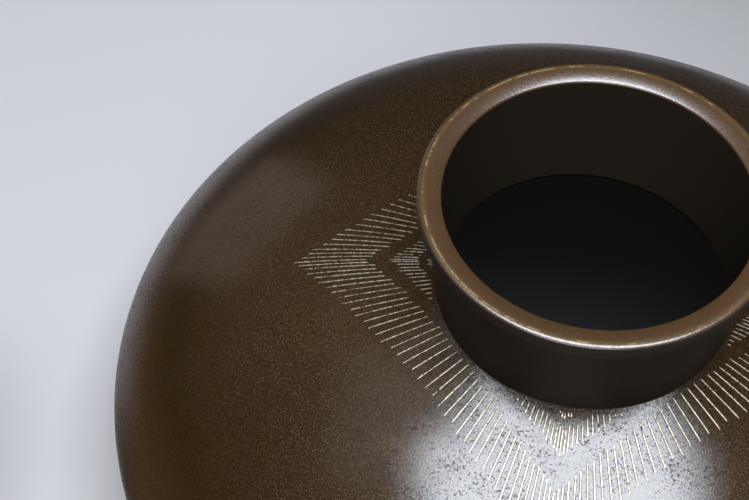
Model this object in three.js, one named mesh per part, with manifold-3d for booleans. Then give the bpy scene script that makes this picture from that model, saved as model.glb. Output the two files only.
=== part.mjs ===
// A squat cast bronze flower vase: a lens-shaped hollow body on a low foot ring, a short collar neck with a
// thick lip, a plate that closes the casting hole underneath, and fine metal wires inlaid in the shoulder.
// Units are millimetres. +Z is up, and the origin is on the table under the middle of the foot.
import * as THREE from "three";
import { mergeVertices } from "three/addons/utils/BufferGeometryUtils.js";
import Module from "manifold-3d";

const wasm = await Module();
wasm.setup();

// Body casting
const bodyDiameter = 260;
const equatorHeight = 50; // from the table to the widest ring
const shoulderRise = 49.3; // from the widest ring up to where the shoulder's curve would close
const undersideDrop = equatorHeight; // the underside's curve would close on the table
const radialPower = 1.8; // exponents of the lens section, |r / R|^radialPower + |z / H|^axialPower = 1
const axialPower = 1.4;
const bodyWall = 2.4;

// Foot ring, cast with the body
const footOuterRadius = 56;
const footWidth = 5.5;
const footRecess = 3.8; // height of the recessed underside above the table
const footEdgeRound = 1;

// Plate that closes the casting hole in the underside
const plateMargin = 5.55; // flat of the casting between the foot ring and the plate's rebate
const plateThickness = 1.6;
const plateLedge = 3.8; // how far the casting reaches in under the plate's edge
const plateClearance = 0.15;

// Neck collar
const overallHeight = 132;
const neckBaseRadius = 39.4;
const neckTopRadius = 40.5; // the collar opens slightly towards the lip
const neckWall = 1.2;
const seatDepth = 0.7; // how deep the collar's foot is let into the shoulder
const seatLedge = 0.7; // width of the ledge that it stands on
const seatClearance = 0.1;

// Lip
const lipOverhang = 5; // how far the lip stands out from the collar
const lipThickness = 4.4; // height of the lip from its underside to its crest
const lipShoulder = 1.4; // from the crest out to the lip's edge, which rounds over
const lipShoulderDrop = 0.9;
const lipDish = 0.9; // how far the top face falls from the crest to the bore
const lipInnerRound = 0.5;
const lipUnderRound = 0.8;
const lipCove = 3; // hollow under the lip, where it runs into the collar

// Inlaid wires: bands between squares that stand on their corners, hatched with radial wires. Far and near are
// a band's two corner distances, and each bow is what a side's middle adds to them, so that the side curves.
const bands = [
  { name: "outer", far: 79.8, farBow: -4, near: 60.6, nearBow: -3.1 },
  { name: "middle", far: 53, farBow: 0, near: 45, nearBow: 6 },
  { name: "inner", far: 43.4, farBow: 0, near: 41, nearBow: 0 },
];
const wiresToMiddle = 20; // wires from a corner to the middle of a square's side
const cornerCrowding = 0.41; // pitch of the wires at a corner, as a share of their mean pitch
const wireWidth = 0.5;
const wireDepth = 0.45; // let into the shoulder
const wireProud = 0.15;
const wireClearance = 0.04; // between a wire and its channel
const wireStep = 10; // longest straight piece of a wire
const neckMargin = 0.6; // bare metal left round the collar's seat
const shortestWire = 1.2;
const fanReach = 6; // outer wires each side of a corner that are separate pieces
const openAbove = 1; // how far a channel's cut runs out above the shoulder
const corners = ["east", "north", "west", "south"];

const turns = 52; // facets round the axis
const shoulderSteps = 12; // facets from the widest ring up to the collar
const undersideSteps = 8; // from the widest ring down to the foot
const innerSteps = 6; // from the widest ring up or down, inside
const arcSteps = 3;
const smallArcSteps = 2;
const mergeReach = 1e-4; // vertices closer than this are one

const bronze = new THREE.MeshStandardMaterial({ color: 0x4a3826, roughness: 0.42, metalness: 0.9 });
const rubbedBronze = new THREE.MeshStandardMaterial({ color: 0x6b4e36, roughness: 0.38, metalness: 0.9 });
const rawBronze = new THREE.MeshStandardMaterial({ color: 0x3a2c1f, roughness: 0.6, metalness: 0.85 });
const paleGold = new THREE.MeshStandardMaterial({ color: 0xd9c9a3, roughness: 0.3, metalness: 1 });

// Height of a lens section above or below its widest ring, at a radius.
function lensHeight(radius, lensRadius, rise) {
  const share = Math.min(1, Math.pow(radius / lensRadius, radialPower));
  return rise * Math.pow(1 - share, 1 / axialPower);
}

function shoulderHeight(radius) {
  return equatorHeight + lensHeight(radius, bodyDiameter / 2, shoulderRise);
}

// Points of a lens section from one radius to another, closer together near the widest ring.
function lensPoints(fromRadius, toRadius, lensRadius, rise, steps) {
  const angleOf = (radius) => Math.asin(Math.pow(radius / lensRadius, radialPower / 2));
  const from = angleOf(fromRadius);
  const to = angleOf(toRadius);
  return Array.from({ length: steps + 1 }, (_, i) => {
    const radius = lensRadius * Math.pow(Math.sin(from + ((to - from) * i) / steps), 2 / radialPower);
    return new THREE.Vector2(radius, equatorHeight + lensHeight(radius, lensRadius, rise));
  });
}

// Points of an arc of a circle, or of an ellipse where the two half-axes differ, in degrees.
function arcPoints(centreR, centreZ, halfWidth, halfHeight, fromDegrees, toDegrees, steps = arcSteps) {
  return Array.from({ length: steps + 1 }, (_, i) => {
    const a = THREE.MathUtils.degToRad(fromDegrees + ((toDegrees - fromDegrees) * i) / steps);
    return new THREE.Vector2(centreR + halfWidth * Math.cos(a), centreZ + halfHeight * Math.sin(a));
  });
}

// Points of a small quarter round, from an angle in degrees.
function roundPoints(centreR, centreZ, radius, fromDegrees) {
  return arcPoints(centreR, centreZ, radius, radius, fromDegrees, fromDegrees + 90, smallArcSteps);
}

// A turned piece about Z from a closed section that runs anticlockwise in (radius, height).
function turned(points) {
  const geometry = new THREE.LatheGeometry([...points, points[0].clone()], turns);
  return geometry.rotateX(Math.PI / 2);
}

function namedMesh(name, geometry, material) {
  const mesh = new THREE.Mesh(geometry, material);
  mesh.name = name;
  return mesh;
}

// A closed three.js geometry as a solid that can be cut or joined.
function solidOf(geometry) {
  const bare = geometry.clone();
  bare.deleteAttribute("normal");
  bare.deleteAttribute("uv");
  const merged = mergeVertices(bare, mergeReach);
  return new wasm.Manifold(
    new wasm.Mesh({
      numProp: 3,
      vertProperties: new Float32Array(merged.attributes.position.array),
      triVerts: new Uint32Array(merged.index.array),
    }),
  );
}

function geometryOf(solid) {
  const mesh = solid.getMesh();
  const geometry = new THREE.BufferGeometry();
  geometry.setAttribute("position", new THREE.BufferAttribute(mesh.vertProperties, 3));
  geometry.setIndex(new THREE.BufferAttribute(mesh.triVerts, 1));
  geometry.computeVertexNormals();
  return geometry;
}

// Where the pieces meet
const seatRadius = neckBaseRadius + seatClearance;
const seatHeight = shoulderHeight(neckBaseRadius) - seatDepth;
const ringInnerRadius = footOuterRadius - footWidth;
const rebateRadius = ringInnerRadius - plateMargin;
const rebateTop = footRecess + plateThickness;
const plateRadius = rebateRadius - plateClearance;

// Collar: a flared tube of even wall, with a cove under its lip and a top face that dishes down to the bore.
function neckGeometry() {
  const lipRadius = neckTopRadius + lipOverhang;
  const crestRadius = lipRadius - lipShoulder;
  const boreRadius = neckTopRadius - neckWall;
  const lipUnderside = overallHeight - lipThickness;
  const dishEnd = boreRadius + lipInnerRound;
  const edgeHeight = overallHeight - lipDish - lipInnerRound;
  const dishPoint = (share) =>
    new THREE.Vector2(crestRadius + (dishEnd - crestRadius) * share, overallHeight - lipDish * share * share);
  const outerEdge = overallHeight - lipShoulderDrop;
  return turned([
    new THREE.Vector2(neckBaseRadius - neckWall, seatHeight),
    new THREE.Vector2(neckBaseRadius, seatHeight),
    ...arcPoints(neckTopRadius + lipCove, lipUnderside - lipCove, lipCove, lipCove, 180, 90),
    ...roundPoints(lipRadius - lipUnderRound, lipUnderside + lipUnderRound, lipUnderRound, -90),
    ...arcPoints(crestRadius, outerEdge, lipShoulder, lipShoulderDrop, 0, 90),
    dishPoint(1 / 3),
    dishPoint(2 / 3),
    ...roundPoints(dishEnd, edgeHeight, lipInnerRound, 90),
  ]);
}

// Body casting: lens-shaped shell with the collar's seat, the foot ring and the rebate for the plate.
function bodyGeometry() {
  const outerRadius = bodyDiameter / 2;
  const innerRadius = outerRadius - bodyWall;
  const holeRadius = seatRadius - seatLedge;
  const plateHole = plateRadius - plateLedge;
  return turned([
    new THREE.Vector2(ringInnerRadius, footRecess),
    ...roundPoints(ringInnerRadius + footEdgeRound, footEdgeRound, footEdgeRound, 180),
    ...roundPoints(footOuterRadius - footEdgeRound, footEdgeRound, footEdgeRound, 270),
    ...lensPoints(footOuterRadius, outerRadius, outerRadius, -undersideDrop, undersideSteps),
    ...lensPoints(outerRadius, seatRadius, outerRadius, shoulderRise, shoulderSteps).slice(1),
    new THREE.Vector2(seatRadius, seatHeight),
    new THREE.Vector2(holeRadius, seatHeight),
    ...lensPoints(holeRadius, innerRadius, innerRadius, shoulderRise - bodyWall, innerSteps),
    ...lensPoints(innerRadius, plateHole, innerRadius, -(undersideDrop - bodyWall), innerSteps).slice(1),
    new THREE.Vector2(plateHole, rebateTop),
    new THREE.Vector2(rebateRadius, rebateTop),
    new THREE.Vector2(rebateRadius, footRecess),
  ]);
}

function plateGeometry() {
  return turned([
    new THREE.Vector2(0, footRecess),
    new THREE.Vector2(plateRadius, footRecess),
    new THREE.Vector2(plateRadius, rebateTop),
    new THREE.Vector2(0, rebateTop),
  ]);
}

// A strip that follows the shoulder outwards along +X, with its edges the given distances below and above it.
function shoulderStrip(fromRadius, toRadius, width, below, above) {
  const steps = Math.max(1, Math.ceil((toRadius - fromRadius) / wireStep));
  const positions = [];
  for (let i = 0; i <= steps; i++) {
    const radius = fromRadius + ((toRadius - fromRadius) * i) / steps;
    const height = shoulderHeight(radius);
    positions.push(radius, -width / 2, height - below, radius, width / 2, height - below);
    positions.push(radius, width / 2, height + above, radius, -width / 2, height + above);
  }
  const quads = [[3, 2, 1, 0]];
  for (let i = 0; i < steps; i++) {
    for (let k = 0; k < 4; k++) {
      const a = 4 * i + k;
      const b = 4 * i + ((k + 1) % 4);
      quads.push([a, b, b + 4, a + 4]);
    }
  }
  quads.push([0, 1, 2, 3].map((k) => 4 * steps + k));
  const geometry = new THREE.BufferGeometry();
  geometry.setAttribute("position", new THREE.Float32BufferAttribute(positions, 3));
  geometry.setIndex(quads.flatMap(([a, b, c, d]) => [a, b, c, a, c, d]));
  geometry.computeVertexNormals();
  return geometry;
}

// Angle between a corner of the pattern and a wire, by the wire's count from that corner.
function wireAngle(count) {
  const share = Math.abs(count) / (wiresToMiddle + 0.5);
  return Math.sign(count) * (Math.PI / 4) * (cornerCrowding * share + (1 - cornerCrowding) * share * share);
}

// Distance from the axis to a band's edge at an angle from its corner, with the side bowed in or out.
function edgeRadius(corner, bow, angle) {
  return (corner + bow * Math.abs(Math.sin(2 * angle))) / (Math.cos(angle) + Math.abs(Math.sin(angle)));
}

// Every wire of the pattern: its azimuth, its two radii, and its count from the nearest corner.
function wireLayout() {
  const wires = [];
  const nearest = seatRadius + neckMargin;
  corners.forEach((corner, quarter) => {
    for (let count = -wiresToMiddle; count <= wiresToMiddle; count++) {
      const angle = wireAngle(count);
      for (const band of bands) {
        const from = Math.max(nearest, edgeRadius(band.near, band.nearBow, angle));
        const to = edgeRadius(band.far, band.farBow, angle);
        if (to - from < shortestWire) continue;
        const separate = band.name === "outer" && Math.abs(count) <= fanReach;
        wires.push({ corner, count, from, to, separate, azimuth: angle + (quarter * Math.PI) / 2 });
      }
    }
  });
  return wires;
}

// The channel that a separate wire is let into, open above the shoulder.
function channelFor(wire) {
  const from = wire.from - wireClearance;
  const to = wire.to + wireClearance;
  const width = wireWidth + 2 * wireClearance;
  const channel = shoulderStrip(from, to, width, wireDepth + wireClearance, openAbove);
  return solidOf(channel.rotateZ(wire.azimuth));
}

// A wire that is drawn as one with the casting, as a ridge rooted in the shoulder.
function ridgeFor(wire) {
  return solidOf(shoulderStrip(wire.from, wire.to, wireWidth, wireDepth, wireProud).rotateZ(wire.azimuth));
}

function wireMesh(wire) {
  const strip = shoulderStrip(wire.from, wire.to, wireWidth, wireDepth, wireProud);
  const mesh = namedMesh(`inlay_wire_${wire.corner}_${wire.count + fanReach + 1}`, strip, paleGold);
  mesh.rotation.z = wire.azimuth;
  return mesh;
}

const vase = new THREE.Group();
let body = solidOf(bodyGeometry());
for (const wire of wireLayout()) {
  if (wire.separate) {
    body = body.subtract(channelFor(wire));
    vase.add(wireMesh(wire));
  } else {
    body = body.add(ridgeFor(wire));
  }
}
vase.add(namedMesh("body_casting", geometryOf(body), bronze));
vase.add(namedMesh("neck_collar", neckGeometry(), rubbedBronze));
vase.add(namedMesh("base_plate", plateGeometry(), rawBronze));

export default vase;
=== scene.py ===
"""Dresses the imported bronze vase: patinated body, rubbed neck, inlaid wires, base plate, and a studio.

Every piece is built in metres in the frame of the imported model, +Z up, with the origin on the table under
the middle of the foot. The fine meshes keep the sizes of the solids that they stand for.
"""

from __future__ import annotations

import logging
import math
from dataclasses import dataclass
from enum import Enum
from typing import Any
from typing import Iterable

import bpy
from mathutils import Matrix
from mathutils import Vector

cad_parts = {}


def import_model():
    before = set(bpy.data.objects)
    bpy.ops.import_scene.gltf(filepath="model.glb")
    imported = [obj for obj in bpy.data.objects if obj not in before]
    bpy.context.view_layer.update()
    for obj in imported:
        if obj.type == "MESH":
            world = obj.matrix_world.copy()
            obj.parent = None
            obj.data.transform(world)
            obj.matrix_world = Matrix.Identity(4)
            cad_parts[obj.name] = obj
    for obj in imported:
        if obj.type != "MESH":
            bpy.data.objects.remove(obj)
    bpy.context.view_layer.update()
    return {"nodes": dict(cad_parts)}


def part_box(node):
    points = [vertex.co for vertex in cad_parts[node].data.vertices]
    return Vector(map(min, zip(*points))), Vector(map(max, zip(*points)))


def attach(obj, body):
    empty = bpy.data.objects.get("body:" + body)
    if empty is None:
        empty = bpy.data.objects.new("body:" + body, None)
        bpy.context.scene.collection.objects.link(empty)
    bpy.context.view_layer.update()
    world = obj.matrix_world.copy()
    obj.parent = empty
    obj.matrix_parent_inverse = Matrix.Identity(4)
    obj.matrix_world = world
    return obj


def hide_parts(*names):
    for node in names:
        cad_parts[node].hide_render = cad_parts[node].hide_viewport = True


logging.basicConfig(level=logging.INFO, format="%(message)s")
LOG = logging.getLogger("vase")

MM = 0.001
BODY = "root"

EQUATOR_HEIGHT = 50 * MM
SHOULDER_RISE = 49.3 * MM
NECK_RADIUS = 39.4 * MM
SEAT_CLEARANCE = 0.1 * MM
NECK_MARGIN = 0.6 * MM
SHARP_DEGREES = 40.0
ON_AXIS = 1e-9

Colour = tuple[float, float, float]
Point = tuple[float, float, float]
Span = tuple[float, float]
Profile = list[tuple[float, float]]


class Slot(Enum):
    """Material slots of the record, whose names the materials built here share."""

    PATINATED = "patinated_bronze"
    RUBBED = "rubbed_bronze"
    RAW = "raw_bronze"
    INLAY = "inlay_metal"


class NodeName(Enum):
    """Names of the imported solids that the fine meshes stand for."""

    BODY = "body_casting"
    NECK = "neck_collar"
    PLATE = "base_plate"
    WIRE = "inlay_wire_"


def linear(red: int, green: int, blue: int) -> Colour:
    """Turns a colour as it is seen on a screen, 0 to 255, into scene-linear values.

    Args:
        red: Red as seen on a screen.
        green: Green as seen on a screen.
        blue: Blue as seen on a screen.

    Returns:
        The scene-linear colour.
    """

    def channel(value: int) -> float:
        """Linear value of one channel."""
        share = value / 255
        return share / 12.92 if share <= 0.04045 else ((share + 0.055) / 1.055) ** 2.4

    return (channel(red), channel(green), channel(blue))


@dataclass(frozen=True)
class Grain:
    """Soft noise, with the width of its largest patches in the units of the place that it is read at."""

    size: float
    octaves: float = 2.0
    roughness: float = 0.5


class Sock:
    """A node socket or a number that takes part in node maths written as Python expressions."""

    def __init__(self, nodes: NodeTree, value: Any) -> None:
        """Keeps the tree and the socket or number."""
        self.nodes = nodes
        self.value = value

    def _math(self, operation: str, *values: Any, clamp: bool = False) -> Sock:
        """Adds a Math node.

        Args:
            operation: The node's operation.
            values: What its inputs take, as Sock or number.
            clamp: Whether the result is held between 0 and 1.

        Returns:
            The result.
        """
        inputs = dict(enumerate(values))
        return self.nodes.node("ShaderNodeMath", {"operation": operation, "use_clamp": clamp}, inputs)

    def __add__(self, other: Any) -> Sock:
        """Sum."""
        return self._math("ADD", self, other)

    __radd__ = __add__

    def __sub__(self, other: Any) -> Sock:
        """Difference."""
        return self._math("SUBTRACT", self, other)

    def __rsub__(self, other: Any) -> Sock:
        """Difference from a number."""
        return self._math("SUBTRACT", other, self)

    def __mul__(self, other: Any) -> Sock:
        """Product."""
        return self._math("MULTIPLY", self, other)

    __rmul__ = __mul__

    def __truediv__(self, other: Any) -> Sock:
        """Quotient."""
        return self._math("DIVIDE", self, other)

    def __rtruediv__(self, other: Any) -> Sock:
        """Quotient of a number."""
        return self._math("DIVIDE", other, self)

    def __pow__(self, other: Any) -> Sock:
        """Power."""
        return self._math("POWER", self, other)

    def __neg__(self) -> Sock:
        """The value with its sign turned."""
        return self._math("MULTIPLY", self, -1.0)

    def absolute(self) -> Sock:
        """The value without its sign."""
        return self._math("ABSOLUTE", self)

    def sign(self) -> Sock:
        """The value's sign, as -1, 0 or 1."""
        return self._math("SIGN", self)

    def floor(self) -> Sock:
        """The whole number at or below the value."""
        return self._math("FLOOR", self)

    def cosine(self) -> Sock:
        """Cosine of an angle."""
        return self._math("COSINE", self)

    def sine(self) -> Sock:
        """Sine of an angle."""
        return self._math("SINE", self)

    def clamped(self) -> Sock:
        """The value held between 0 and 1."""
        return self._math("ADD", self, 0.0, clamp=True)

    def least(self, other: Any) -> Sock:
        """The lesser of two values."""
        return self._math("MINIMUM", self, other)

    def most(self, other: Any) -> Sock:
        """The greater of two values."""
        return self._math("MAXIMUM", self, other)

    def step(self, start: float, end: float) -> Sock:
        """A smooth step.

        Args:
            start: Where the step leaves 0.
            end: Where it reaches 1, above or below the start.

        Returns:
            A mask between 0 and 1.
        """
        if start < end:
            settings = {"interpolation_type": "SMOOTHSTEP"}
            return self.nodes.node("ShaderNodeMapRange", settings, {0: self, 1: start, 2: end})
        return 1 - self.step(end, start)

    def around(self, centre: float, reach: float) -> Sock:
        """A smooth bump of 1 at a centre that falls to 0 at the given reach either side."""
        return (self - centre).absolute().step(reach, 0.0)


class NodeTree:
    """A node tree whose nodes all come from one method."""

    def __init__(self, tree: bpy.types.NodeTree) -> None:
        """Keeps the tree."""
        self.tree = tree

    def node(self, kind: str, settings: dict[str, Any], inputs: dict[Any, Any], output: Any = 0) -> Sock:
        """Adds a node.

        Args:
            kind: The node's type.
            settings: Properties that are set before any socket.
            inputs: Values or links, by the socket's name or number.
            output: Name or number of the socket that is wanted.

        Returns:
            The wanted output.
        """
        node = self.tree.nodes.new(kind)
        for key, value in settings.items():
            setattr(node, key, value)
        for key, value in inputs.items():
            self.feed(node.inputs[key], value)
        return Sock(self, node.outputs[output])

    def feed(self, socket: bpy.types.NodeSocket, value: Any) -> None:
        """Links a socket, or sets it.

        Args:
            socket: The socket that takes the value.
            value: A Sock, number, colour or material.
        """
        source = value.value if isinstance(value, Sock) else value
        if isinstance(source, bpy.types.NodeSocket):
            self.tree.links.new(source, socket)
        elif isinstance(source, tuple) and socket.type == "RGBA":
            socket.default_value = (*source, 1)
        else:
            socket.default_value = source

    def split(self, where: Any) -> tuple[Sock, Sock, Sock]:
        """X, Y and Z of a place."""
        outputs = self.node("ShaderNodeSeparateXYZ", {}, {0: where}).value.node.outputs
        return Sock(self, outputs[0]), Sock(self, outputs[1]), Sock(self, outputs[2])

    def noise(self, where: Any, grain: Grain) -> Sock:
        """Soft noise between 0 and 1, read at a place."""
        return self.node("ShaderNodeTexNoise", {}, {
            "Vector": where,
            "Scale": 1 / grain.size,
            "Detail": grain.octaves,
            "Roughness": grain.roughness,
        }, "Fac")


class Shader(NodeTree):
    """One material's node tree, of one Principled shader or of two that a mask mixes."""

    def __init__(self, name: str) -> None:
        """Starts a material with only an output.

        Args:
            name: Name of the material.
        """
        self.material = bpy.data.materials.new(name)
        self.material.use_nodes = True
        super().__init__(self.material.node_tree)
        self.tree.nodes.clear()
        self.output = self.tree.nodes.new("ShaderNodeOutputMaterial")

    def place(self) -> Sock:
        """Place on the object, in metres."""
        return self.node("ShaderNodeTexCoord", {}, {}, "Object")

    def axes(self) -> tuple[Sock, Sock, Sock]:
        """X, Y and Z of each point on the object."""
        return self.split(self.place())

    def radius_height(self) -> tuple[Sock, Sock]:
        """Distance from the axis and height of each point."""
        across, along, height = self.axes()
        return (across * across + along * along) ** 0.5, height

    def blend(self, share: Any, first: Any, second: Any) -> Sock:
        """Colour that goes from the first to the second with the share."""
        settings = {"data_type": "RGBA", "clamp_factor": True}
        return self.node("ShaderNodeMix", settings, {0: share, 6: first, 7: second}, 2)

    def bump(self, height: Sock, distance: float, strength: float = 1.0, below: Any = None) -> Sock:
        """Relief from a height.

        Args:
            height: Height between 0 and 1.
            distance: How far 1 stands above 0, in metres.
            strength: Share of the relief that shows.
            below: Normal that the relief lies on.

        Returns:
            The normal.
        """
        inputs: dict[str, Any] = {"Height": height, "Distance": distance, "Strength": strength}
        if below is not None:
            inputs["Normal"] = below
        return self.node("ShaderNodeBump", {}, inputs, "Normal")

    def surface(self, **sockets: Any) -> Sock:
        """A Principled shader, its sockets named with underscores for spaces."""
        inputs = {name.replace("_", " ").title().replace("Ior", "IOR"): value
                  for name, value in sockets.items()}
        return self.node("ShaderNodeBsdfPrincipled", {}, inputs)

    def finish(self, surface: Sock) -> bpy.types.Material:
        """Gives the material, with the surface on its output."""
        self.feed(self.output.inputs["Surface"], surface)
        return self.material

    def layered(self, share: Sock, first: Sock, second: Sock) -> bpy.types.Material:
        """Gives the material, with the second surface over the first where the share is 1."""
        return self.finish(self.node("ShaderNodeMixShader", {}, {0: share, 1: first, 2: second}))


@dataclass(frozen=True)
class LensCurve:
    """Turned outline of a body whose section is a rounded lens.

    The section is abs(r / radius) ** radial_power + abs(z / rise) ** axial_power = 1 about the widest ring.
    """

    radius: float
    equator: float
    rise: float
    drop: float
    radial_power: float = 1.8
    axial_power: float = 1.4

    def height(self, radius: float, upper: bool = True) -> float:
        """Height of the curve at a radius.

        Args:
            radius: Distance from the axis.
            upper: Whether the half above the widest ring is meant.

        Returns:
            Height above the table.
        """
        reach = self.rise if upper else -self.drop
        share = 1 - min(1.0, (radius / self.radius) ** self.radial_power)
        return self.equator + reach * share ** (1 / self.axial_power)

    def points(self, start: float, end: float, upper: bool, steps: int) -> Profile:
        """Points from one radius to another, close together near the widest ring.

        Args:
            start: First radius.
            end: Last radius.
            upper: Whether the half above the widest ring is meant.
            steps: Number of steps between them.

        Returns:
            The points as radius and height.
        """
        first = math.asin((start / self.radius) ** (self.radial_power / 2))
        last = math.asin((end / self.radius) ** (self.radial_power / 2))
        turns = [first + (last - first) * i / steps for i in range(steps + 1)]
        radii = [self.radius * math.sin(turn) ** (2 / self.radial_power) for turn in turns]
        return [(radius, self.height(radius, upper)) for radius in radii]


def arc(centre: tuple[float, float], radius: float, start: float, end: float, steps: int) -> Profile:
    """Points of an arc in a section, with its angles in degrees."""
    turns = [math.radians(start + (end - start) * i / steps) for i in range(steps + 1)]
    return [(centre[0] + radius * math.cos(t), centre[1] + radius * math.sin(t)) for t in turns]


def between(start: tuple[float, float], end: tuple[float, float], steps: int) -> Profile:
    """Points that divide a straight line in a section, without its two ends."""
    shares = [i / steps for i in range(1, steps)]
    return [(start[0] + (end[0] - start[0]) * s, start[1] + (end[1] - start[1]) * s) for s in shares]


def turned(name: str, profile: Profile, around: int) -> bpy.types.Object:
    """Makes a smooth turned mesh from a closed section that runs anticlockwise in radius and height.

    Args:
        name: Name of the piece.
        profile: Points of the section; points on the axis become one vertex.
        around: Number of steps round the axis.

    Returns:
        The piece, linked to the scene.
    """
    vertices: list[Point] = []
    rings: list[list[int]] = []
    for radius, height in profile:
        first = len(vertices)
        if radius < ON_AXIS:
            vertices.append((0.0, 0.0, height))
            rings.append([first] * around)
            continue
        for i in range(around):
            turn = 2 * math.pi * i / around
            vertices.append((radius * math.cos(turn), radius * math.sin(turn), height))
        rings.append([first + i for i in range(around)])
    faces = []
    for j, ring in enumerate(rings):
        after = rings[(j + 1) % len(rings)]
        for i in range(around):
            k = (i + 1) % around
            corners = list(dict.fromkeys([ring[i], ring[k], after[k], after[i]]))
            if len(corners) > 2:
                faces.append(corners)
    mesh = bpy.data.meshes.new(name)
    mesh.from_pydata(vertices, [], faces)
    mesh.validate()
    mesh.update()
    piece = bpy.data.objects.new(name, mesh)
    bpy.context.scene.collection.objects.link(piece)
    smooth(piece, SHARP_DEGREES)
    return piece


def smooth(piece: bpy.types.Object, sharp_degrees: float) -> None:
    """Shades a mesh smooth apart from its sharp edges."""
    piece.data.shade_smooth()
    piece.data.set_sharp_from_angle(angle=math.radians(sharp_degrees))


def dress(piece: bpy.types.Object, material: bpy.types.Material, replaced: list[str]) -> None:
    """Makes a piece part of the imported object, and gives it its material if it has none.

    Args:
        piece: The finished mesh.
        material: What it is made of.
        replaced: Names of the solids that it stands for.
    """
    if not piece.data.materials:
        piece.data.materials.append(material)
    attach(piece, BODY)
    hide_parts(*replaced)
    faces = len(piece.data.polygons)
    LOG.info("%s: %d faces, stands for %d solids", piece.name, faces, len(replaced))


@dataclass(frozen=True)
class Flecks:
    """Small dull marks, which patches of the surface and the neck's neighbourhood have more of."""

    grain: Grain
    patchy: float
    near_neck: float
    limits: Span
    share: float


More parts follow.
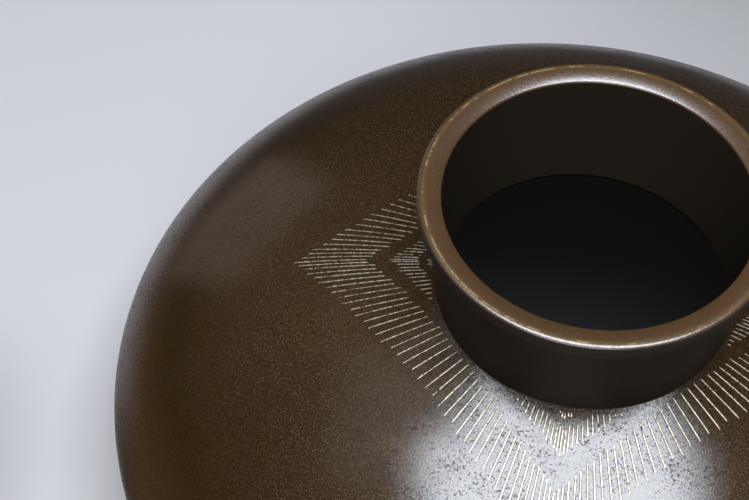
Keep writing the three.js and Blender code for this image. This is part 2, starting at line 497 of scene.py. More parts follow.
@dataclass(frozen=True)
class PatinaFinish:
    """Dark brown patina on cast bronze, waxed and glossy over a fine grain.

    It is darker at the back and olive low on the left, it has a painted warm sheen round the rim, and it is
    dull in fine pits and in sparse blots. Towards the neck its relief rises as a soft cove does.
    """

    outline: LensCurve
    brown: Colour = linear(69, 51, 29)
    dark: Colour = linear(55, 39, 17)
    shady: Colour = linear(41, 28, 6)
    olive: Colour = linear(44, 30, 2)
    # pale speckle colour, partly the patina's own grain and partly painted glints
    light: Colour = linear(116, 96, 78)
    deep: Colour = linear(30, 23, 15)
    worn: Colour = linear(54, 42, 30)
    # painted warm sheen: the colour that the widest ring is tinted towards, in place of a warm reflection at
    # grazing angles
    rim: Colour = linear(94, 66, 38)
    inside: Colour = linear(30, 30, 30)

    clouds: Grain = Grain(60 * MM, 3.0)
    cloud_range: Span = (0.3, 0.7)
    shady_reach: Span = (10 * MM, 70 * MM)
    shady_share: float = 0.8
    olive_heights: Span = (88 * MM, 62 * MM)
    olive_reach: Span = (-45 * MM, -95 * MM)
    olive_share: float = 0.9
    rim_reach: Span = (110 * MM, 126 * MM)
    painted_rim_sheen_share: float = 0.45

    speckle: Grain = Grain(0.45 * MM, 2.0, 0.65)
    light_range: Span = (0.52, 0.64)
    light_share: float = 0.5
    light_lost_in_olive: float = 0.45
    deep_range: Span = (0.48, 0.32)
    deep_share: float = 0.5

    patches: Grain = Grain(9 * MM)
    pits: Flecks = Flecks(Grain(0.4 * MM, 2.0, 0.6), 0.2, 0.05, (0.56, 0.65), 0.595)
    blots: Flecks = Flecks(Grain(0.75 * MM, 3.0, 0.6), 0.24, 0.04, (0.59, 0.63), 0.765)

    wear: Grain = Grain(25 * MM, 4.0)
    roughness: float = 0.14
    speckle_roughness: float = 0.15
    wear_roughness: float = 0.06
    rim_roughness: float = 0.14
    dull_roughness: float = 0.7
    ior: float = 1.75
    dull_ior: float = 1.15

    fine: Grain = Grain(0.3 * MM, 2.0, 0.6)
    relief: float = 0.018 * MM
    root_from: float = 57 * MM
    root_to: float = 39.4 * MM
    root_heights: Span = (80 * MM, 85 * MM)
    root_rise: float = 0.96 * MM
    wall_share: float = 0.98
    wall_edge: float = 0.005

    def hollow(self, radius: Sock, height: Sock) -> Sock:
        """Tells the inside of the shell from its outside.

        Args:
            radius: Distance from the axis.
            height: Height above the table.

        Returns:
            A mask of 1 on the inside.
        """
        outline = self.outline
        across = (radius / outline.radius) ** outline.radial_power
        above = (height - outline.equator) / outline.rise
        above = above.most((outline.equator - height) / outline.drop)
        reach = across + above ** outline.axial_power
        return reach.step(self.wall_share + self.wall_edge, self.wall_share - self.wall_edge)

    def tone(self, tree: Shader, speckle: Sock, rim: Sock) -> Sock:
        """Colour of the waxed patina.

        Args:
            tree: The material's tree.
            speckle: Fine grain between 0 and 1.
            rim: Mask of the widest part.

        Returns:
            The colour.
        """
        across, along, height = tree.axes()
        clouds = tree.noise(tree.place(), self.clouds)
        tone = tree.blend(clouds.step(*self.cloud_range), self.dark, self.brown)
        tone = tree.blend(along.step(*self.shady_reach) * self.shady_share, tone, self.shady)
        low = height.step(*self.olive_heights) * across.step(*self.olive_reach)
        tone = tree.blend(low * self.olive_share, tone, self.olive)
        # painted sheen: the widest ring is tinted warmer and paler
        tone = tree.blend(rim * self.painted_rim_sheen_share, tone, self.rim)
        # pale speckle, partly grain and partly painted glints, so it thins out in the olive zone
        light = speckle.step(*self.light_range) * (self.light_share - low * self.light_lost_in_olive)
        tone = tree.blend(light, tone, self.light)
        return tree.blend(speckle.step(*self.deep_range) * self.deep_share, tone, self.deep)

    def dulled(self, tree: Shader, flecks: Flecks, root: Sock) -> Sock:
        """Share of the wax that is gone in one kind of flecks.

        Args:
            tree: The material's tree.
            flecks: The kind.
            root: Mask of the shoulder next to the neck.

        Returns:
            The share.
        """
        patches = tree.noise(tree.place(), self.patches) - 0.5
        marks = tree.noise(tree.place(), flecks.grain) + patches * flecks.patchy + root * flecks.near_neck
        return marks.step(*flecks.limits) * flecks.share

    def normal(self, tree: Shader, root: Sock, height: Sock) -> Sock:
        """Fine relief over the soft rise towards the neck.

        Args:
            tree: The material's tree.
            root: Mask of the shoulder next to the neck.
            height: Height above the table.

        Returns:
            The normal.
        """
        cove = tree.bump(root * root * height.step(*self.root_heights), self.root_rise)
        return tree.bump(tree.noise(tree.place(), self.fine), self.relief, below=cove)

    def material(self) -> bpy.types.Material:
        """Builds the material.

        Returns:
            The material.
        """
        tree = Shader("patinated_bronze")
        radius, height = tree.radius_height()
        speckle = tree.noise(tree.place(), self.speckle)
        wear = tree.noise(tree.place(), self.wear) - 0.5
        rim = radius.step(*self.rim_reach)
        root = ((self.root_from - radius) / (self.root_from - self.root_to)).clamped()
        rough = self.roughness + (speckle - 0.5) * self.speckle_roughness + wear * self.wear_roughness
        rough = rough + rim * self.rim_roughness
        waxed = tree.surface(
            base_color=self.tone(tree, speckle, rim),
            roughness=rough.clamped(),
            ior=self.ior,
            normal=self.normal(tree, root, height),
        )
        inner = self.hollow(radius, height)
        dull = tree.surface(
            base_color=tree.blend(inner, self.worn, self.inside),
            roughness=self.dull_roughness,
            ior=self.dull_ior,
        )
        marks = self.dulled(tree, self.pits, root).most(self.dulled(tree, self.blots, root))
        return tree.layered(inner.most(marks), waxed, dull)


@dataclass(frozen=True)
class RubbedFinish:
    """Dull dark neck whose lip is rubbed to brown and, in dashes along its crest, to golden metal, with a
    paler painted brown on its outer flank and a painted golden highlight along its crest.
    """

    crest_radius: float
    bore_radius: float
    foot_height: float
    lip_height: float
    dark: Colour = linear(43, 37, 31)
    bore: Colour = linear(51, 44, 34)
    lip: Colour = linear(87, 62, 37)
    light: Colour = linear(116, 98, 80)
    gold: Colour = linear(236, 192, 148)
    # golden colour of the seam at the neck's foot, also used for the painted highlight along the crest
    seam: Colour = linear(130, 108, 60)
    # painted light: paler brown for the lip's outer flank, whose sideways faces get little light from above
    flank: Colour = linear(126, 94, 58)

    grain: Grain = Grain(0.5 * MM, 2.0, 0.6)
    leather: Grain = Grain(0.7 * MM, 3.0, 0.6)
    outside_from: Span = (0.02 * MM, 0.15 * MM)
    rubbed_depth: Span = (2.6 * MM, 1.6 * MM)
    flank_reach: Span = (0.3 * MM, 0.8 * MM)
    flank_depth: Span = (0.4 * MM, 0.6 * MM)
    flank_painted_light_side: Span = (-25 * MM, 5 * MM)
    light_range: Span = (0.5, 0.8)
    light_share: float = 0.12

    # painted highlight: how wide and how strong the golden band along the crest is
    glow_reach: float = 1.1 * MM
    glow_share: float = 0.3
    crest_reach: float = 0.28 * MM
    dashes: Grain = Grain(5 * MM, 3.0, 0.6)
    dash_range: Span = (0.49, 0.57)
    dash_grain: Span = (0.3, 0.5)
    handled_side: Span = (5 * MM, -30 * MM)
    handled_level: float = 0.55
    handled_gain: float = 0.12
    gold_metallic: float = 0.6
    seam_heights: Span = (0.45 * MM, 0.2 * MM)
    seam_grain: Span = (0.3, 0.6)

    lip_roughness: float = 0.29
    grain_roughness: float = 0.2
    leather_roughness: float = 0.15
    lip_ior: float = 2.12
    lip_relief: float = 0.04 * MM
    wall_roughness: float = 0.45
    wall_ior: float = 1.3
    wall_relief: float = 0.03 * MM
    wall_relief_share: float = 0.6

    def golden(self, tree: Shader, radius: Sock, grain: Sock) -> Sock:
        """Dashes along the crest where the patina is rubbed off, more of them on the side that is handled.

        Args:
            tree: The material's tree.
            radius: Distance from the axis.
            grain: Fine grain between 0 and 1.

        Returns:
            A mask of 1 on bare metal.
        """
        across, _along, _height = tree.axes()
        crest = radius.around(self.crest_radius, self.crest_reach)
        handled = across.step(*self.handled_side) - self.handled_level
        dashes = tree.noise(tree.place(), self.dashes) + handled * self.handled_gain
        return crest * dashes.step(*self.dash_range) * grain.step(*self.dash_grain)

    def material(self) -> bpy.types.Material:
        """Builds the material.

        Returns:
            The material.
        """
        tree = Shader("rubbed_bronze")
        _across, along, _height = tree.axes()
        radius, height = tree.radius_height()
        depth = self.lip_height - height
        grain = tree.noise(tree.place(), self.grain)
        leather = tree.noise(tree.place(), self.leather)
        outside = (radius - self.bore_radius).step(*self.outside_from)
        rubbed = depth.step(*self.rubbed_depth) * outside
        flank = (radius - self.crest_radius).step(*self.flank_reach) * depth.step(*self.flank_depth)

        gold = self.golden(tree, radius, grain)
        # painted highlight: a band along the crest is blended towards the seam's golden colour
        glow = radius.around(self.crest_radius, self.glow_reach) * self.glow_share
        tone = tree.blend(grain.step(*self.light_range) * self.light_share, self.lip, self.light)
        tone = tree.blend(glow, tone, self.seam)
        rough = self.lip_roughness + (grain - 0.5) * self.grain_roughness
        rough = rough + (leather - 0.5) * self.leather_roughness
        lip = tree.surface(
            base_color=tree.blend(gold, tone, self.gold),
            roughness=rough.clamped(),
            metallic=gold * self.gold_metallic,
            ior=self.lip_ior,
            normal=tree.bump(leather, self.lip_relief),
        )

        dark = tree.blend(outside, self.bore, self.dark)
        # painted light: the lip's outer flank is coloured paler brown, except at the front
        dark = tree.blend(rubbed * along.step(*self.flank_painted_light_side), dark, self.flank)
        seam = (height - self.foot_height).step(*self.seam_heights) * outside
        wall = tree.surface(
            base_color=tree.blend(seam * grain.step(*self.seam_grain), dark, self.seam),
            roughness=self.wall_roughness,
            ior=self.wall_ior,
            normal=tree.bump(leather, self.wall_relief, self.wall_relief_share),
        )
        return tree.layered(rubbed * (1 - flank), wall, lip)


@dataclass(frozen=True)
class RawFinish:
    """Dull dark bronze of the underside, and black metal on the plate's face inside the vase."""

    tone: Colour = linear(44, 36, 27)
    stain: Colour = linear(66, 52, 36)
    inside: Colour = linear(19, 19, 19)
    top: float = 5 * MM
    inner_depth: Span = (0.4 * MM, 0.2 * MM)
    clouds: Grain = Grain(14 * MM, 5.0, 0.6)
    cloud_range: Span = (0.4, 0.65)
    grain: Grain = Grain(0.7 * MM)
    relief: float = 0.03 * MM
    relief_share: float = 0.5
    roughness: float = 0.5
    uneven_roughness: float = 0.2
    inner_roughness: float = 0.3
    metallic: float = 0.3
    inner_metallic: float = 0.7
    ior: float = 1.2

    def material(self) -> bpy.types.Material:
        """Builds the material.

        Returns:
            The material.
        """
        tree = Shader("raw_bronze")
        _radius, height = tree.radius_height()
        clouds = tree.noise(tree.place(), self.clouds)
        grain = tree.noise(tree.place(), self.grain)
        inner = (self.top - height).step(*self.inner_depth)
        tone = tree.blend(clouds.step(*self.cloud_range), self.tone, self.stain)
        rough = self.roughness + (grain + clouds - 1) * self.uneven_roughness + inner * self.inner_roughness
        return tree.finish(tree.surface(
            base_color=tree.blend(inner, tone, self.inside),
            roughness=rough.clamped(),
            metallic=inner * self.inner_metallic + self.metallic,
            ior=self.ior,
            normal=tree.bump(grain, self.relief, self.relief_share),
        ))


@dataclass(frozen=True)
class WireFinish:
    """Pale gold-silver wire in bright and dull flecks, partly its own and partly painted glints, duller in
    broad patches of wear, and with a painted highlight everywhere but on the left, where its relief is
    stronger.
    """

    bright: Colour = linear(255, 242, 214)
    dull: Colour = linear(150, 132, 105)
    # the left side, where the wires are worn thin and the painted highlight is left out
    worn_and_painted_dim_reach: Span = (-25 * MM, -55 * MM)
    shimmer: Grain = Grain(0.55 * MM, 2.0, 0.6)
    wear: Grain = Grain(9 * MM)
    wear_share: float = 0.3
    # painted highlight: how much brighter the wires are painted away from the left
    painted_highlight_gain: float = 0.06
    bright_range: Span = (0.38, 0.52)
    roughness: float = 0.45
    shimmer_roughness: float = 0.4
    metallic: float = 0.72
    relief: float = 0.08 * MM
    unworn_relief: float = 0.45

    def material(self) -> bpy.types.Material:
        """Builds the material.

        Returns:
            The material.
        """
        tree = Shader("inlay_metal")
        across, _along, _height = tree.axes()
        worn = across.step(*self.worn_and_painted_dim_reach)
        shimmer = tree.noise(tree.place(), self.shimmer)
        wear = tree.noise(tree.place(), self.wear) - 0.5
        # bright and dull flecks, partly the metal's own and partly painted glints, plus broad wear and the
        # painted highlight away from the left
        metal_and_painted_shine = shimmer + wear * self.wear_share + (1 - worn) * self.painted_highlight_gain
        height = shimmer * (self.unworn_relief + worn * (1 - self.unworn_relief))
        return tree.finish(tree.surface(
            base_color=tree.blend(metal_and_painted_shine.step(*self.bright_range), self.dull, self.bright),
            roughness=(self.roughness + (shimmer - 0.5) * self.shimmer_roughness).clamped(),
            metallic=self.metallic,
            normal=tree.bump(height, self.relief),
        ))


@dataclass(frozen=True)
class GrooveFinish:
    """Dull dark line along both sides of each wire."""

    tone: Colour = linear(36, 27, 18)
    grain: Grain = Grain(0.4 * MM)
    roughness: float = 0.5
    grain_roughness: float = 0.3
    ior: float = 1.2

    def material(self) -> bpy.types.Material:
        """Builds the material.

        Returns:
            The material.
        """
        tree = Shader("wire_groove")
        rough = self.roughness + tree.noise(tree.place(), self.grain) * self.grain_roughness
        return tree.finish(tree.surface(base_color=self.tone, roughness=rough.clamped(), ior=self.ior))


@dataclass
class BodyCasting:
    """Hollow lens-shaped casting with its foot ring, the neck's seat and the base plate's rebate."""

    outer: LensCurve
    seat_radius: float
    seat_height: float
    wall: float = 2.4 * MM
    ledge: float = 0.7 * MM
    foot_outer: float = 56 * MM
    foot_width: float = 5.5 * MM
    foot_recess: float = 3.8 * MM
    foot_round: float = 1 * MM
    rebate_radius: float = 44.95 * MM
    rebate_top: float = 5.4 * MM
    plate_hole: float = 41 * MM
    around: int = 288
    outer_steps: int = 64
    inner_steps: int = 32
    round_steps: int = 6

    def inner(self) -> LensCurve:
        """The hollow's outline."""
        outer, wall = self.outer, self.wall
        return LensCurve(outer.radius - wall, outer.equator, outer.rise - wall, outer.drop - wall)

    def profile(self) -> Profile:
        """The closed section.

        Returns:
            Its points, anticlockwise.
        """
        outer = self.outer
        inner = self.inner()
        ring_inner = self.foot_outer - self.foot_width
        edge = self.foot_round
        hole_radius = self.seat_radius - self.ledge
        return [
            (ring_inner, self.foot_recess),
            *arc((ring_inner + edge, edge), edge, 180, 270, self.round_steps),
            *arc((self.foot_outer - edge, edge), edge, 270, 360, self.round_steps),
            *outer.points(self.foot_outer, outer.radius, False, self.outer_steps),
            *outer.points(outer.radius, self.seat_radius, True, self.outer_steps)[1:],
            (self.seat_radius, self.seat_height),
            (hole_radius, self.seat_height),
            *inner.points(hole_radius, inner.radius, True, self.inner_steps),
            *inner.points(inner.radius, self.plate_hole, False, self.inner_steps)[1:],
            (self.plate_hole, self.rebate_top),
            (self.rebate_radius, self.rebate_top),
            (self.rebate_radius, self.foot_recess),
        ]

    def build(self) -> None:
        """Builds and dresses the casting."""
        piece = turned("patinated_body", self.profile(), self.around)
        dress(piece, PatinaFinish(self.outer).material(), [NodeName.BODY.value])


@dataclass
class NeckCollar:
    """Turned collar of even wall, with a cove under its lip and a top face that dishes down to the bore."""

    top: float
    lip_radius: float
    seat_height: float
    foot_height: float
    base_radius: float
    top_radius: float = 40.5 * MM
    wall: float = 1.2 * MM
    lip_thickness: float = 4.4 * MM
    shoulder: float = 1.4 * MM
    shoulder_drop: float = 0.9 * MM
    dish: float = 0.9 * MM
    inner_round: float = 0.5 * MM
    under_round: float = 0.8 * MM
    cove: float = 3 * MM
    around: int = 288
    lip_steps: int = 12
    wall_steps: int = 8

    def profile(self) -> Profile:
        """The closed section, whose inner round is tangent to the dished face.

        Returns:
            Its points, anticlockwise.
        """
        crest = self.lip_radius - self.shoulder
        bore = self.top_radius - self.wall
        underside = self.top - self.lip_thickness
        dish_end = bore + self.inner_round
        slope = math.atan(2 * self.dish / (crest - dish_end))
        easing = self.inner_round / (1 - math.sin(slope))
        round_low = self.top - self.dish - easing * math.cos(slope)
        foot_outer = (self.base_radius, self.seat_height)
        foot_inner = (self.base_radius - self.wall, self.seat_height)
        cove_centre = (self.top_radius + self.cove, underside - self.cove)
        under_centre = (self.lip_radius - self.under_round, underside + self.under_round)
        turns = [math.radians(90 * i / self.lip_steps) for i in range(self.lip_steps + 1)]
        edge = [(crest + self.shoulder * math.cos(t), self.top - self.shoulder_drop * (1 - math.sin(t)))
                for t in turns]
        shares = [i / self.lip_steps for i in range(1, self.lip_steps)]
        face = [(crest + (dish_end - crest) * s, self.top - self.dish * s * s) for s in shares]
        return [
            foot_inner,
            foot_outer,
            *between(foot_outer, (self.top_radius, underside - self.cove), self.wall_steps),
            *arc(cove_centre, self.cove, 180, 90, self.lip_steps),
            *arc(under_centre, self.under_round, -90, 0, self.wall_steps),
            *edge,
            *face,
            *arc((bore + easing, round_low), easing, 90 + math.degrees(slope), 180, self.wall_steps),
            *between((bore, round_low), foot_inner, self.wall_steps),
        ]

    def build(self) -> None:
        """Builds and dresses the collar."""
        piece = turned("rubbed_neck", self.profile(), self.around)
        crest = self.lip_radius - self.shoulder
        finish = RubbedFinish(crest, self.top_radius - self.wall, self.foot_height, self.top)
        dress(piece, finish.material(), [NodeName.NECK.value])


@dataclass
class BasePlate:
    """Plate let in from below over the casting hole, with an eased lower edge."""

    radius: float
    bottom: float
    top: float
    ease: float = 0.25 * MM
    ease_steps: int = 4
    around: int = 192
    ring_shares: tuple[float, ...] = (0.25, 0.5, 0.75)
    finish: RawFinish = RawFinish()

    def build(self) -> None:
        """Builds and dresses the plate."""
        rings = [self.radius * share for share in self.ring_shares]
        profile = [
            (0.0, self.bottom),
            *[(ring, self.bottom) for ring in rings],
            *arc((self.radius - self.ease, self.bottom + self.ease), self.ease, -90, 0, self.ease_steps),
            (self.radius, self.top),
            *[(ring, self.top) for ring in reversed(rings)],
            (0.0, self.top),
        ]
        piece = turned("closing_plate", profile, self.around)
        dress(piece, self.finish.material(), [NodeName.PLATE.value])


class GeometryTree(NodeTree):
    """A Geometry Nodes tree with named inputs."""

    def __init__(self, name: str) -> None:
        """Starts an empty tree that gives out one geometry.

        Args:
            name: Name of the tree.
        """
        super().__init__(bpy.data.node_groups.new(name, "GeometryNodeTree"))
        self.tree.interface.new_socket("Geometry", in_out="OUTPUT", socket_type="NodeSocketGeometry")
        self.group_in = self.tree.nodes.new("NodeGroupInput")
        self.group_out = self.tree.nodes.new("NodeGroupOutput")
        self.values: dict[str, float] = {}

    def size(self, name: str, value: float) -> Sock:
        """Adds a named input.

        Args:
            name: Name of the input.
            value: What the modifier gives it.

        Returns:
            The input.
        """
        self.tree.interface.new_socket(name, in_out="INPUT", socket_type="NodeSocketFloat")
        self.values[name] = value
        return Sock(self, self.group_in.outputs[name])

    def store(self, geometry: Sock, name: str, value: Any) -> Sock:
        """Stores a number on each point of a geometry.

        Args:
            geometry: The geometry.
            name: Name that the number is stored under.
            value: The number.

        Returns:
            The geometry with the number.
        """
        settings = {"data_type": "FLOAT", "domain": "POINT"}
        inputs = {"Geometry": geometry, "Name": name, "Value": value}
        return self.node("GeometryNodeStoreNamedAttribute", settings, inputs)

    def stored(self, name: str) -> Sock:
        """Reads a stored number."""
        settings = {"data_type": "FLOAT"}
        return self.node("GeometryNodeInputNamedAttribute", settings, {"Name": name}, "Attribute")

    def random(self, span: Span, seed: int) -> Sock:
        """A seeded random number for each item."""
        inputs = {2: span[0], 3: span[1], "Seed": seed}
        return self.node("FunctionNodeRandomValue", {"data_type": "FLOAT"}, inputs, 1)

    def mesh(self, name: str, geometry: Sock) -> bpy.types.Object:
        """Runs the tree on a new object and gives its result as a plain mesh.

        Args:
            name: Name of the piece.
            geometry: What the tree gives out.

        Returns:
            The piece, linked to the scene and free of modifiers.
        """
        self.tree.links.new(geometry.value, self.group_out.inputs["Geometry"])
        seed = bpy.data.objects.new(f"{name}_seed", bpy.data.meshes.new(f"{name}_seed"))
        bpy.context.scene.collection.objects.link(seed)
        modifier = seed.modifiers.new("pattern", "NODES")
        modifier.node_group = self.tree
        sockets = [item for item in self.tree.interface.items_tree if item.in_out == "INPUT"]
        for socket in sockets:
            modifier[socket.identifier] = self.values[socket.name]
        bpy.context.view_layer.update()
        depsgraph = bpy.context.evaluated_depsgraph_get()
        mesh = bpy.data.meshes.new_from_object(seed.evaluated_get(depsgraph), depsgraph=depsgraph)
        bpy.data.objects.remove(seed)
        for attribute in [a.name for a in mesh.attributes if a.name.startswith("wire_")]:
            mesh.attributes.remove(mesh.attributes[attribute])
        mesh.name = name
        piece = bpy.data.objects.new(name, mesh)
        bpy.context.scene.collection.objects.link(piece)
        return piece


@dataclass(frozen=True)
class WireBand:
    """One band of the inlay, between two squares that stand on their corners and whose sides may bow.

    The near edge may be shifted at the east and west corners alone.
    """

    name: str
    far: float
    far_bow: float
    near: float
    near_bow: float
    steps: int
    seed: int
    near_shift: float = 0.0


@dataclass
class InlayPattern:
    """Radial wires hammered into the shoulder, in bands, each with a thin dark groove on both sides."""

    shoulder: LensCurve
    nearest: float
    to_middle: int = 20
    crowding: float = 0.41
    width: float = 0.5 * MM
    proud: float = 0.12 * MM
    sunk: float = 0.35 * MM
    shortest: float = 1 * MM
    sides: int = 8
    flatness: float = 1.7
    sharp_degrees: float = 50.0
    groove_margin: float = 0.13 * MM
    groove_rise: float = 0.015 * MM
    groove_steps: int = 24
    near_fray: Span = (-0.9 * MM, 0.2 * MM)
    far_fray: Span = (-0.5 * MM, 0.6 * MM)
    sideways: Span = (-0.1 * MM, 0.1 * MM)
    worn_range: Span = (0.2, 0.95)
    ragged: Grain = Grain(0.7)
    ragged_range: Span = (0.3, 0.65)
    broken: Grain = Grain(5.5)
    broken_range: Span = (0.27, 0.31)
    number_step: float = 7.3
    core: float = 0.52
    worn_core_loss: float = 0.26
    fray: float = 0.3
    worn_fray: float = 0.25
    broken_width: float = 0.4
    lowest_top: float = 0.35
    ragged_top: float = 1.3
    wire_taper: Span = (-0.05 * MM, 1.2 * MM)
    groove_taper: Span = (0.3 * MM, 1.5 * MM)
    buried: float = 0.1 * MM
    bands: tuple[WireBand, ...] = (
        WireBand("outer", 79.8 * MM, -4 * MM, 60.6 * MM, -3.1 * MM, 64, 11, -2.2 * MM),
        WireBand("middle", 53 * MM, 0.0, 45 * MM, 6 * MM, 30, 21),
        WireBand("inner", 43.4 * MM, 0.0, 41 * MM, 0.0, 12, 31),
    )
    finish: WireFinish = WireFinish()
    groove_finish: GrooveFinish = GrooveFinish()

    def strips(self, tree: GeometryTree, band: WireBand, steps: int) -> Sock:
        """Makes a closed strip along Z for each wire, which carries the wire's radii, direction and number.

        Args:
            tree: The band's tree.
            band: The band.
            steps: Steps along a strip.

        Returns:
            The strips, all at the origin.
        """
        far, near = tree.size("Far corner", band.far), tree.size("Near corner", band.near)
        far_bow, near_bow = tree.size("Far bow", band.far_bow), tree.size("Near bow", band.near_bow)
        near_shift = tree.size("Near shift east and west", band.near_shift)
        nearest = tree.size("Nearest", self.nearest)
        per_corner = 2 * self.to_middle + 1
        index = tree.node("GeometryNodeInputIndex", {}, {})
        quarter = (index / per_corner).floor()
        number = index - quarter * per_corner - self.to_middle
        share = number.absolute() / (self.to_middle + 0.5)
        turn = (share * self.crowding + share * share * (1 - self.crowding)) * (math.pi / 4) * number.sign()
        azimuth = turn + quarter * (math.pi / 2)
        cosine, sine = turn.cosine(), turn.sine().absolute()
        shrink = 1.0 / (cosine + sine)
        bow = cosine * sine * 2.0
        near = near + near_shift * azimuth.cosine() ** 2
        start = (near + near_bow * bow) * shrink + tree.random(self.near_fray, band.seed)
        start = start.most(nearest)
        end = (far + far_bow * bow) * shrink + tree.random(self.far_fray, band.seed + 1)
        wobble = tree.random(self.sideways, band.seed + 2)

        line = {"Count": 4 * per_corner, "Offset": (0, 0, 0)}
        points = tree.node("GeometryNodeMeshLine", {"mode": "OFFSET"}, line)
        stored = {"from": start, "to": end, "turn": azimuth, "wobble": wobble, "number": index}
        for name, value in stored.items():
            points = tree.store(points, f"wire_{name}", value)
        lengths = {0: end - start, 1: self.shortest}
        long_enough = tree.node("FunctionNodeCompare", {"operation": "GREATER_THAN"}, lengths)
        sizes = {"Vertices": self.sides, "Side Segments": steps, "Radius": 1.0, "Depth": 1.0}
        strip = tree.node("GeometryNodeMeshCylinder", {"fill_type": "NGON"}, sizes, "Mesh")
        copies = {"Points": points, "Selection": long_enough, "Instance": strip}
        strips = tree.node("GeometryNodeInstanceOnPoints", {}, copies)
        return tree.node("GeometryNodeRealizeInstances", {}, {"Geometry": strips})

    def band_mesh(self, band: WireBand, groove: bool, material: bpy.types.Material) -> bpy.types.Object:
        """Builds one band of wires, or of the grooves that they lie in, with Geometry Nodes.

        Args:
            band: The band.
            groove: Whether the grooves are built and not the wires.
            material: What they are made of.

        Returns:
            The band as one mesh.
        """
        kind = "grooves" if groove else "wires"
        tree = GeometryTree(f"{band.name}_{kind}_pattern")
        strips = self.strips(tree, band, self.groove_steps if groove else band.steps)
        places = {"Geometry": strips, "Position": self.laid(tree, band, groove)}
        strips = tree.node("GeometryNodeSetPosition", {}, places)
        strips = tree.node("GeometryNodeSetMaterial", {}, {"Geometry": strips, "Material": material})
        return tree.mesh(f"{band.name}_{kind}", strips)

    def laid(self, tree: GeometryTree, band: WireBand, groove: bool) -> Sock:
        """Lays each strip on the shoulder along its meridian.

        Noise frays and thins a wire, most of all in the west, and lets it dip below the surface where it is
        worn away. A groove is a flat strip a little wider than its wire, whose edges show on both sides of it.

        Args:
            tree: The band's tree.
            band: The band.
            groove: Whether the strips are grooves and not wires.

        Returns:
            The place of each point.
        """
        width = tree.size("Wire width", self.width)
        proud = tree.size("Proud", self.proud)
        sunk = tree.size("Sunk", self.sunk)
        radius = tree.size("Body radius", self.shoulder.radius)
        equator = tree.size("Widest height", self.shoulder.equator)
        rise = tree.size("Shoulder rise", self.shoulder.rise)

        across, up, lengthwise = tree.split(tree.node("GeometryNodeInputPosition", {}, {}))
        along = lengthwise + 0.5
        start, end, turn = tree.stored("wire_from"), tree.stored("wire_to"), tree.stored("wire_turn")
        reach = start + (end - start) * along
        grain_place = tree.node("ShaderNodeCombineXYZ", {}, {
            0: reach / MM,
            1: tree.stored("wire_number") * self.number_step,
            2: float(band.seed),
        })
        ragged = tree.noise(grain_place, self.ragged)
        broken = tree.noise(grain_place, self.broken)
        ends = (along * (end - start)).least((1 - along) * (end - start))
        whole = broken.step(*self.broken_range) * ends.step(*self.wire_taper)
        worn = (-turn.cosine()).step(*self.worn_range)
        frayed = ragged.step(*self.ragged_range) * (self.fray + worn * self.worn_fray)
        half_width = width * 0.5 * (self.core - worn * self.worn_core_loss + frayed)
        half_width = half_width * (self.broken_width + (1 - self.broken_width) * whole)
        inward = 1 - (reach / radius) ** self.shoulder.radial_power
        height = equator + rise * inward ** (1 / self.shoulder.axial_power) + up.least(0.0) * sunk
        flat_top = (up.most(0.0) * self.flatness).least(1.0)
        if groove:
            half_width = (half_width + self.groove_margin) * ends.step(*self.groove_taper)
            height = height + flat_top * self.groove_rise
        else:
            above = proud * (self.lowest_top + ragged * self.ragged_top)
            height = height + flat_top * above - (1 - whole) * (above + self.buried)

        beside = across * half_width + tree.stored("wire_wobble")
        return tree.node("ShaderNodeCombineXYZ", {}, {
            0: reach * turn.cosine() - beside * turn.sine(),
            1: reach * turn.sine() + beside * turn.cosine(),
            2: height,
        })

    def build(self, nodes: Iterable[str]) -> None:
        """Builds and dresses all the bands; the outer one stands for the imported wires.

        Args:
            nodes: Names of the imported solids.
        """
        metal, dark = self.finish.material(), self.groove_finish.material()
        packed = sorted(name for name in nodes if name.startswith(NodeName.WIRE.value))
        for band in self.bands:
            wires = self.band_mesh(band, False, metal)
            grooves = self.band_mesh(band, True, dark)
            dress(wires, metal, packed if band is self.bands[0] else [])
            dress(grooves, dark, [])
            smooth(wires, self.sharp_degrees)
            smooth(grooves, self.sharp_degrees)


@dataclass(frozen=True)
class Softbox:
    """A soft rectangular lamp, which faces the vase's mouth where it has no aim of its own."""

    name: str
    place: Point
    size: tuple[float, float]
    radiance: float
    colour: Colour
    aim: Point | None = None
    spin: float = 0.0

    def build(self, mouth: Point) -> None:
        """Adds the lamp to the scene.

        Args:
            mouth: Middle of the vase's mouth.
        """
        data = bpy.data.lights.new(self.name, "AREA")
        data.shape = "RECTANGLE"
        data.size, data.size_y = self.size
        data.energy = self.radiance * self.size[0] * self.size[1] * math.pi
        data.color = self.colour
        lamp = bpy.data.objects.new(self.name, data)
        lamp.location = self.place
        line = Vector(mouth if self.aim is None else self.aim) - Vector(self.place)
        aimed = line.to_track_quat("-Z", "Y").to_matrix()
        lamp.rotation_euler = (Matrix.Rotation(math.radians(self.spin), 3, "Z") @ aimed).to_euler()
        bpy.context.scene.collection.objects.link(lamp)


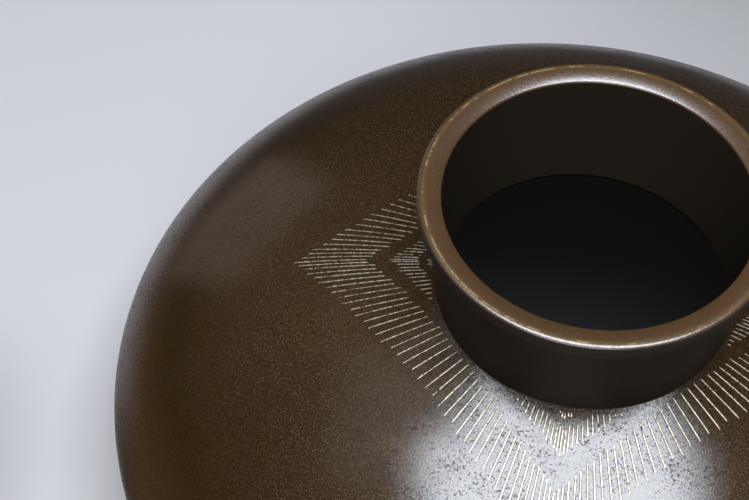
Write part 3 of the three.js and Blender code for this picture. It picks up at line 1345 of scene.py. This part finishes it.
@dataclass(frozen=True)
class Studio:
    """Pale table in a dim room, one large lamp overhead with four weak ones, and the photo's viewpoint."""

    mouth_height: float
    table: Colour = linear(220, 217, 217)
    table_shade: Colour = linear(70, 71, 74)
    table_half: float = 3.0
    table_roughness: float = 0.8
    table_specular: float = 0.2
    shade_slant: tuple[float, float] = (0.6, 0.8)
    shade_reach: Span = (0.07, 0.4)
    far_reach: Span = (0.19, 0.28)
    far_share: float = 0.95
    near_slant: float = 0.2
    near_reach: Span = (0.0, -0.09)
    left_reach: Span = (-0.13, -0.24)

    unit: float = 45.5 * MM
    focal_pixels: float = 1629.5
    frame_width: int = 749
    sensor: float = 36.0
    near_clip: float = 0.01
    elevation: float = 0.8814
    distance: float = 8.9936
    yaw: float = 0.1293
    pitch: float = -0.0568
    roll: float = -0.1769
    turn: float = -0.0386

    room_colour: Colour = (1.0, 0.95, 0.88)
    horizon: Span = (0.0, 0.14)
    pale_room: float = 0.04
    dim_room: float = 0.008
    lamps: tuple[Softbox, ...] = (
        Softbox("overhead_softbox", (0.058, -0.16, 1.25), (1.0, 0.5), 11.0, (0.85, 0.905, 1.0),
                (0.058, -0.16, 0.0), 6.0),
        Softbox("side_glow", (-0.68, 0.15, 1.25), (0.42, 0.62), 0.38, (1.0, 0.96, 0.98),
                (-0.68, 0.15, 0.0)),
        Softbox("front_fill", (0.0, -1.1, 1.0), (0.9, 0.6), 3.0, (0.95, 0.96, 1.0)),
        Softbox("left_panel", (-1.11, 1.01, 0.33), (0.57, 0.62), 0.37, (1.0, 0.8, 0.8)),
        Softbox("mouth_fill", (0.0, 0.0, 0.088), (0.066, 0.066), 3.6, (1.0, 1.0, 1.0), (0.0, 0.0, 0.0)),
    )

    def camera(self) -> None:
        """Places the camera where the photo was taken from."""
        data = bpy.data.cameras.new("viewpoint")
        data.sensor_width = self.sensor
        data.lens = self.focal_pixels / self.frame_width * self.sensor
        data.clip_start = self.near_clip
        eye = self.distance * self.unit * Vector((0, -math.cos(self.elevation), math.sin(self.elevation)))
        forward = Vector((0, math.cos(self.elevation), -math.sin(self.elevation)))
        right = Vector((1, 0, 0))
        up = right.cross(forward)
        spin = Matrix.Rotation(self.yaw, 3, up)
        forward, right = spin @ forward, spin @ right
        tilt = Matrix.Rotation(self.pitch, 3, right)
        forward, up = tilt @ forward, tilt @ up
        lean = Matrix.Rotation(self.roll, 3, forward)
        right, up = lean @ right, lean @ up
        about = Matrix.Rotation(self.turn, 3, "Z")
        axes = Matrix((about @ right, about @ up, about @ -forward)).transposed()
        camera = bpy.data.objects.new("viewpoint", data)
        place = about @ eye + Vector((0, 0, self.mouth_height))
        camera.matrix_world = Matrix.Translation(place) @ axes.to_4x4()
        bpy.context.scene.collection.objects.link(camera)
        bpy.context.scene.camera = camera

    def floor(self) -> None:
        """Lays the pale table, which falls into shade beyond the view: behind, and to the left in front."""
        half = self.table_half
        corners = [(-half, -half, 0), (half, -half, 0), (half, half, 0), (-half, half, 0)]
        mesh = bpy.data.meshes.new("table_top")
        mesh.from_pydata(corners, [], [(0, 1, 2, 3)])
        table = bpy.data.objects.new("table_top", mesh)
        bpy.context.scene.collection.objects.link(table)
        tree = Shader("pale_table")
        across, along, _height = tree.axes()
        shade = (across * self.shade_slant[0] + along * self.shade_slant[1]).step(*self.shade_reach)
        shade = shade.most(along.step(*self.far_reach) * self.far_share)
        near = (along + across * self.near_slant).step(*self.near_reach)
        shade = shade.most(near * across.step(*self.left_reach))
        mesh.materials.append(tree.finish(tree.surface(
            base_color=tree.blend(shade, self.table, self.table_shade),
            roughness=self.table_roughness,
            specular_ior_level=self.table_specular,
        )))

    def room(self) -> None:
        """Makes the room: pale at the horizon, dim above."""
        world = bpy.data.worlds.new("room")
        world.use_nodes = True
        tree = NodeTree(world.node_tree)
        _x, _y, up = tree.split(tree.node("ShaderNodeTexCoord", {}, {}, "Generated"))
        strength = tree.node("ShaderNodeMapRange", {"interpolation_type": "SMOOTHSTEP"}, {
            "Value": up,
            "From Min": self.horizon[0],
            "From Max": self.horizon[1],
            "To Min": self.pale_room,
            "To Max": self.dim_room,
        })
        background = world.node_tree.nodes["Background"]
        tree.feed(background.inputs["Strength"], strength)
        tree.feed(background.inputs["Color"], self.room_colour)
        bpy.context.scene.world = world

    def build(self) -> None:
        """Builds the whole studio."""
        self.camera()
        self.floor()
        for lamp in self.lamps:
            lamp.build((0.0, 0.0, self.mouth_height))
        self.room()
        bpy.context.scene.view_settings.view_transform = "Standard"


def main() -> None:
    """Loads the frame, builds every piece in order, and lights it."""
    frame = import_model()
    _body_low, body_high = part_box(NodeName.BODY.value)
    neck_low, neck_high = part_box(NodeName.NECK.value)
    plate_low, plate_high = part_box(NodeName.PLATE.value)
    outer = LensCurve(body_high.x, EQUATOR_HEIGHT, SHOULDER_RISE, EQUATOR_HEIGHT)
    seat_radius = NECK_RADIUS + SEAT_CLEARANCE
    BodyCasting(outer, seat_radius, neck_low.z).build()
    NeckCollar(neck_high.z, neck_high.x, neck_low.z, outer.height(NECK_RADIUS), NECK_RADIUS).build()
    BasePlate(plate_high.x, plate_low.z, plate_high.z).build()
    InlayPattern(outer, seat_radius + NECK_MARGIN).build(frame["nodes"])
    Studio(neck_high.z).build()
    bpy.context.view_layer.update()


if __name__ == "__main__":
    main()
